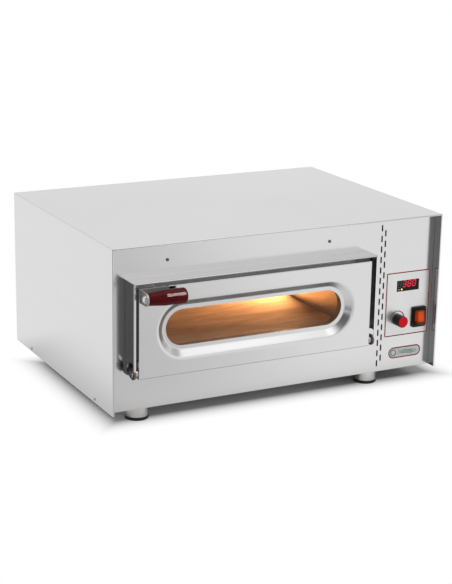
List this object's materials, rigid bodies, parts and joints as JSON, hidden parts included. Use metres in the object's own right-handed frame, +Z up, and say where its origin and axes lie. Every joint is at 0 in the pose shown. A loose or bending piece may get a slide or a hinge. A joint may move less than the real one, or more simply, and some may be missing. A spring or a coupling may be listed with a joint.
{
  "type": "countertop pizza oven",
  "caption": "Stainless countertop pizza oven with a drop-down window door, a heated chamber with a baking stone, a display, a temperature knob and a lit power switch.",
  "frame": {"origin": "on the table under the middle of the oven's overall box", "axes": "+Z up, -Y towards the person at the door, +X towards the controls"},
  "size_m": [0.6428, 0.5309, 0.319],
  "materials": {
    "casing_steel": "bright rolled stainless steel",
    "tray_steel": "dull zinc-coated steel",
    "panel_steel": "bright annealed stainless steel",
    "collar_steel": "bright annealed stainless steel",
    "door_steel": "bright annealed stainless steel",
    "chamber_steel": "aluminised steel, tinted by heat",
    "bracket_steel": "plain steel plate",
    "screw_steel": "bright screw",
    "dark_screw": "blackened screw",
    "foot_steel": "turned steel sleeve",
    "foot_rubber": "black rubber",
    "seal_fibre": "woven glass-fibre rope",
    "baking_stone": "fired cordierite",
    "element_steel": "heater tube, darkened by heat",
    "insulation_wool": "mineral wool",
    "lamp_cup": "spun reflector",
    "lamp_glass": "heat-resistant glass",
    "lamp_bulb": "lit bulb",
    "probe_steel": "stainless probe",
    "ceramic_white": "unglazed steatite",
    "relay_case": "moulded case",
    "gland_plastic": "black nylon",
    "label_film": "printed steel-coloured film with a red outline",
    "badge_enamel": "printed plate with a red outline and a green bar",
    "display_face": "dark filter over red digits",
    "display_case": "moulded case",
    "circuit_board": "solder-masked board",
    "pot_metal": "pressed steel case",
    "brass_nut": "plain brass",
    "shaft_alloy": "turned shaft",
    "knob_black": "moulded knob",
    "knob_red": "red cap",
    "switch_black": "moulded frame",
    "boot_amber": "clear amber boot",
    "rocker_orange": "lit orange rocker",
    "window_glass": "toughened glass",
    "gasket_black": "silicone gasket",
    "grip_bordeaux": "dark red bakelite",
    "bolt_chrome": "polished domed bolt"
  },
  "bodies": {
    "oven": {"casing_cover": "casing_steel", "base_tray": "tray_steel", "back_panel": "tray_steel", "front_panel": "panel_steel", "door_collar": "collar_steel", "control_partition": "tray_steel", "casing_screws": "screw_steel", "panel_screws": "dark_screw", "foot_sleeves": "foot_steel", "foot_pads": "foot_rubber", "foot_bolts": "screw_steel", "chamber_shell": "chamber_steel", "chamber_cover": "chamber_steel", "mouth_frame": "chamber_steel", "mouth_seal": "seal_fibre", "stone_rails": "chamber_steel", "baking_stone": "baking_stone", "upper_element": "element_steel", "lower_element": "element_steel", "element_hangers": "chamber_steel", "terminal_beads": "ceramic_white", "chamber_supports": "tray_steel", "insulation_wrap": "insulation_wool", "insulation_back": "insulation_wool", "insulation_bottom": "insulation_wool", "lamp_housing": "lamp_cup", "lamp_bulb": "lamp_bulb", "lamp_lens": "lamp_glass", "temperature_probe": "probe_steel", "power_relay": "relay_case", "terminal_block": "ceramic_white", "cable_gland": "gland_plastic", "gland_locknut": "gland_plastic", "control_label": "label_film", "badge_plate": "badge_enamel", "display_window": "display_face", "display_block": "display_case", "control_board": "circuit_board", "pot_body": "pot_metal", "pot_nut": "brass_nut", "switch_frame": "switch_black", "switch_boot": "boot_amber", "switch_body": "switch_black", "hinge_brackets": "bracket_steel", "hinge_bushes": "brass_nut"},
    "door": {"door_skin": "door_steel", "door_inner_panel": "chamber_steel", "door_insulation": "insulation_wool", "door_screws": "screw_steel", "window_glass": "window_glass", "glass_seal": "gasket_black", "handle_bracket": "bracket_steel", "handle_grip": "grip_bordeaux", "handle_bolt": "bolt_chrome", "hinge_pins": "screw_steel", "hinge_blocks": "bracket_steel"},
    "knob": {"knob_body": "knob_black", "knob_cap": "knob_red", "pot_shaft": "shaft_alloy"},
    "rocker": {"switch_rocker": "rocker_orange"}
  },
  "joints": [
    {"name": "door_hinge", "type": "hinge", "parent": "oven", "child": "door", "pos_m": [-0.0572, -0.22305, 0.106], "axis": [1, 0, 0], "range_deg": [0, 90]},
    {"name": "temperature_knob", "type": "hinge", "parent": "oven", "child": "knob", "pos_m": [0.2446, -0.20905, 0.1269], "axis": [0, 1, 0], "range_deg": [-150, 150]},
    {"name": "power_rocker", "type": "hinge", "parent": "oven", "child": "rocker", "pos_m": [0.2905, -0.19505, 0.127], "axis": [1, 0, 0], "range_deg": [0, 18]}
  ]
}
